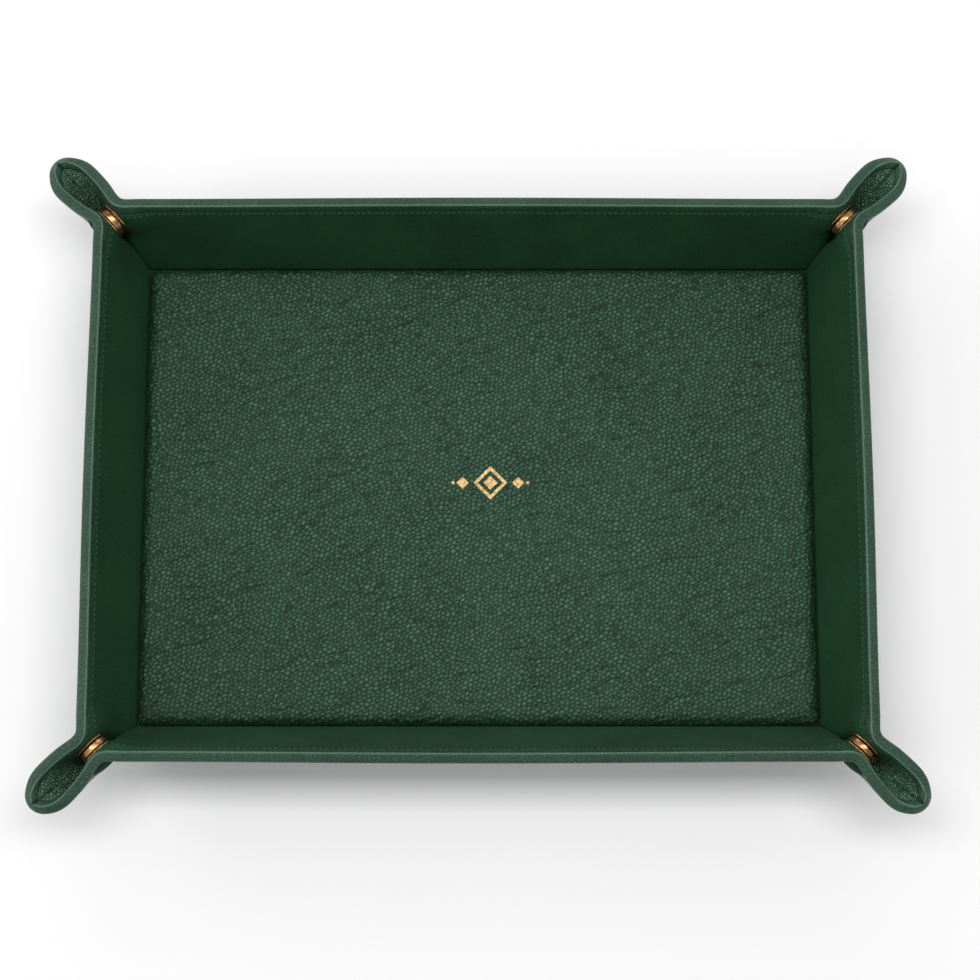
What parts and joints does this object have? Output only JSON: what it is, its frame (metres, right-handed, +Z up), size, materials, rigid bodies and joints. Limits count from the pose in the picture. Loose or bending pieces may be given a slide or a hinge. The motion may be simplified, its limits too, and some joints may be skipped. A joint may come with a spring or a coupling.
{
  "type": "valet tray",
  "caption": "Shallow rectangular leather catch-all tray whose corners pinch together with brass snaps into hollow ears, and open flat.",
  "frame": {"origin": "centre of the tray's bounding box at the table surface it stands on", "axes": "+X along the tray's long side, +Y across it towards the back wall, +Z up out of the open tray"},
  "size_m": [0.249, 0.189, 0.0314],
  "materials": {
    "outer_leather": "satin, fine grain, turned and creased edges",
    "lining_leather": "matte, fine grain with a tone-on-tone stitch line",
    "floor_leather": "pebbled grain over foam, soft sheen on the pebbles",
    "board": "plain bookbinder's board",
    "foam": "thin open-cell foam",
    "gold_foil": "hot-stamped foil, slightly worn",
    "brass": "polished, light wear",
    "painted_caps": "green lacquer, satin"
  },
  "bodies": {
    "base": {"base_outer": "outer_leather", "base_board": "board", "floor_pad": "foam", "floor_leather": "floor_leather", "floor_ornament": "gold_foil"},
    "wall_front": {"wall_front_outer": "outer_leather", "wall_front_board": "board", "wall_front_lining": "lining_leather"},
    "wall_back": {"wall_back_outer": "outer_leather", "wall_back_board": "board", "wall_back_lining": "lining_leather"},
    "wall_left": {"wall_left_outer": "outer_leather", "wall_left_board": "board", "wall_left_lining": "lining_leather"},
    "wall_right": {"wall_right_outer": "outer_leather", "wall_right_board": "board", "wall_right_lining": "lining_leather"},
    "ear_fl_long_side": {"ear_fl_long_side": "outer_leather", "snap_fl_cap": "painted_caps", "snap_fl_socket": "brass"},
    "ear_fl_long_tip": {"ear_fl_long_tip": "outer_leather"},
    "ear_fl_short_side": {"ear_fl_short_side": "outer_leather", "snap_fl_stud": "brass", "snap_fl_post": "painted_caps"},
    "ear_fl_short_tip": {"ear_fl_short_tip": "outer_leather"},
    "ear_fr_long_side": {"ear_fr_long_side": "outer_leather", "snap_fr_cap": "painted_caps", "snap_fr_socket": "brass"},
    "ear_fr_long_tip": {"ear_fr_long_tip": "outer_leather"},
    "ear_fr_short_side": {"ear_fr_short_side": "outer_leather", "snap_fr_stud": "brass", "snap_fr_post": "painted_caps"},
    "ear_fr_short_tip": {"ear_fr_short_tip": "outer_leather"},
    "ear_bl_long_side": {"ear_bl_long_side": "outer_leather", "snap_bl_cap": "painted_caps", "snap_bl_socket": "brass"},
    "ear_bl_long_tip": {"ear_bl_long_tip": "outer_leather"},
    "ear_bl_short_side": {"ear_bl_short_side": "outer_leather", "snap_bl_stud": "brass", "snap_bl_post": "painted_caps"},
    "ear_bl_short_tip": {"ear_bl_short_tip": "outer_leather"},
    "ear_br_long_side": {"ear_br_long_side": "outer_leather", "snap_br_cap": "painted_caps", "snap_br_socket": "brass"},
    "ear_br_long_tip": {"ear_br_long_tip": "outer_leather"},
    "ear_br_short_side": {"ear_br_short_side": "outer_leather", "snap_br_stud": "brass", "snap_br_post": "painted_caps"},
    "ear_br_short_tip": {"ear_br_short_tip": "outer_leather"}
  },
  "joints": [
    {"name": "fold_front", "type": "hinge", "parent": "base", "child": "wall_front", "pos_m": [0, -0.07, 0.0015], "axis": [1, 0, 0], "range_deg": [0, 66]},
    {"name": "fold_back", "type": "hinge", "parent": "base", "child": "wall_back", "pos_m": [0, 0.07, 0.0015], "axis": [-1, 0, 0], "range_deg": [0, 66]},
    {"name": "fold_left", "type": "hinge", "parent": "base", "child": "wall_left", "pos_m": [-0.1, 0, 0.0015], "axis": [0, -1, 0], "range_deg": [0, 66]},
    {"name": "fold_right", "type": "hinge", "parent": "base", "child": "wall_right", "pos_m": [0.1, 0, 0.0015], "axis": [0, 1, 0], "range_deg": [0, 66]},
    {"name": "neck_fl_long", "type": "hinge", "parent": "wall_front", "child": "ear_fl_long_side", "pos_m": [-0.1, -0.07, 0.0015], "axis": [0.1478, 0.322, -0.9351], "range_deg": [0, 49.83]},
    {"name": "nose_fl_long", "type": "hinge", "parent": "ear_fl_long_side", "child": "ear_fl_long_tip", "pos_m": [-0.1, -0.07, 0.0015], "axis": [-0.3942, -0.615, 0.683], "range_deg": [0, 61.23]},
    {"name": "neck_fl_short", "type": "hinge", "parent": "wall_left", "child": "ear_fl_short_side", "pos_m": [-0.1, -0.07, 0.0015], "axis": [-0.322, -0.1478, 0.9351], "range_deg": [0, 49.83]},
    {"name": "nose_fl_short", "type": "hinge", "parent": "ear_fl_short_side", "child": "ear_fl_short_tip", "pos_m": [-0.1, -0.07, 0.0015], "axis": [0.615, 0.3942, -0.683], "range_deg": [0, 61.23]},
    {"name": "neck_fr_long", "type": "hinge", "parent": "wall_front", "child": "ear_fr_long_side", "pos_m": [0.1, -0.07, 0.0015], "axis": [0.1478, -0.322, 0.9351], "range_deg": [0, 49.83]},
    {"name": "nose_fr_long", "type": "hinge", "parent": "ear_fr_long_side", "child": "ear_fr_long_tip", "pos_m": [0.1, -0.07, 0.0015], "axis": [-0.3942, 0.615, -0.683], "range_deg": [0, 61.23]},
    {"name": "neck_fr_short", "type": "hinge", "parent": "wall_right", "child": "ear_fr_short_side", "pos_m": [0.1, -0.07, 0.0015], "axis": [-0.322, 0.1478, -0.9351], "range_deg": [0, 49.83]},
    {"name": "nose_fr_short", "type": "hinge", "parent": "ear_fr_short_side", "child": "ear_fr_short_tip", "pos_m": [0.1, -0.07, 0.0015], "axis": [0.615, -0.3942, 0.683], "range_deg": [0, 61.23]},
    {"name": "neck_bl_long", "type": "hinge", "parent": "wall_back", "child": "ear_bl_long_side", "pos_m": [-0.1, 0.07, 0.0015], "axis": [-0.1478, 0.322, 0.9351], "range_deg": [0, 49.83]},
    {"name": "nose_bl_long", "type": "hinge", "parent": "ear_bl_long_side", "child": "ear_bl_long_tip", "pos_m": [-0.1, 0.07, 0.0015], "axis": [0.3942, -0.615, -0.683], "range_deg": [0, 61.23]},
    {"name": "neck_bl_short", "type": "hinge", "parent": "wall_left", "child": "ear_bl_short_side", "pos_m": [-0.1, 0.07, 0.0015], "axis": [0.322, -0.1478, -0.9351], "range_deg": [0, 49.83]},
    {"name": "nose_bl_short", "type": "hinge", "parent": "ear_bl_short_side", "child": "ear_bl_short_tip", "pos_m": [-0.1, 0.07, 0.0015], "axis": [-0.615, 0.3942, 0.683], "range_deg": [0, 61.23]},
    {"name": "neck_br_long", "type": "hinge", "parent": "wall_back", "child": "ear_br_long_side", "pos_m": [0.1, 0.07, 0.0015], "axis": [-0.1478, -0.322, -0.9351], "range_deg": [0, 49.83]},
    {"name": "nose_br_long", "type": "hinge", "parent": "ear_br_long_side", "child": "ear_br_long_tip", "pos_m": [0.1, 0.07, 0.0015], "axis": [0.3942, 0.615, 0.683], "range_deg": [0, 61.23]},
    {"name": "neck_br_short", "type": "hinge", "parent": "wall_right", "child": "ear_br_short_side", "pos_m": [0.1, 0.07, 0.0015], "axis": [0.322, 0.1478, 0.9351], "range_deg": [0, 49.83]},
    {"name": "nose_br_short", "type": "hinge", "parent": "ear_br_short_side", "child": "ear_br_short_tip", "pos_m": [0.1, 0.07, 0.0015], "axis": [-0.615, -0.3942, -0.683], "range_deg": [0, 61.23]}
  ],
  "couplings": [
    {"joint": "fold_back", "follows": "fold_front", "ratio": 1},
    {"joint": "fold_left", "follows": "fold_front", "ratio": 1},
    {"joint": "fold_right", "follows": "fold_front", "ratio": 1},
    {"joint": "neck_fl_long", "follows": "fold_front", "ratio": 0.7549},
    {"joint": "nose_fl_long", "follows": "fold_front", "ratio": 0.92758},
    {"joint": "neck_fl_short", "follows": "fold_front", "ratio": 0.7549},
    {"joint": "nose_fl_short", "follows": "fold_front", "ratio": 0.92758},
    {"joint": "neck_fr_long", "follows": "fold_front", "ratio": 0.7549},
    {"joint": "nose_fr_long", "follows": "fold_front", "ratio": 0.92758},
    {"joint": "neck_fr_short", "follows": "fold_front", "ratio": 0.7549},
    {"joint": "nose_fr_short", "follows": "fold_front", "ratio": 0.92758},
    {"joint": "neck_bl_long", "follows": "fold_front", "ratio": 0.7549},
    {"joint": "nose_bl_long", "follows": "fold_front", "ratio": 0.92758},
    {"joint": "neck_bl_short", "follows": "fold_front", "ratio": 0.7549},
    {"joint": "nose_bl_short", "follows": "fold_front", "ratio": 0.92758},
    {"joint": "neck_br_long", "follows": "fold_front", "ratio": 0.7549},
    {"joint": "nose_br_long", "follows": "fold_front", "ratio": 0.92758},
    {"joint": "neck_br_short", "follows": "fold_front", "ratio": 0.7549},
    {"joint": "nose_br_short", "follows": "fold_front", "ratio": 0.92758}
  ]
}
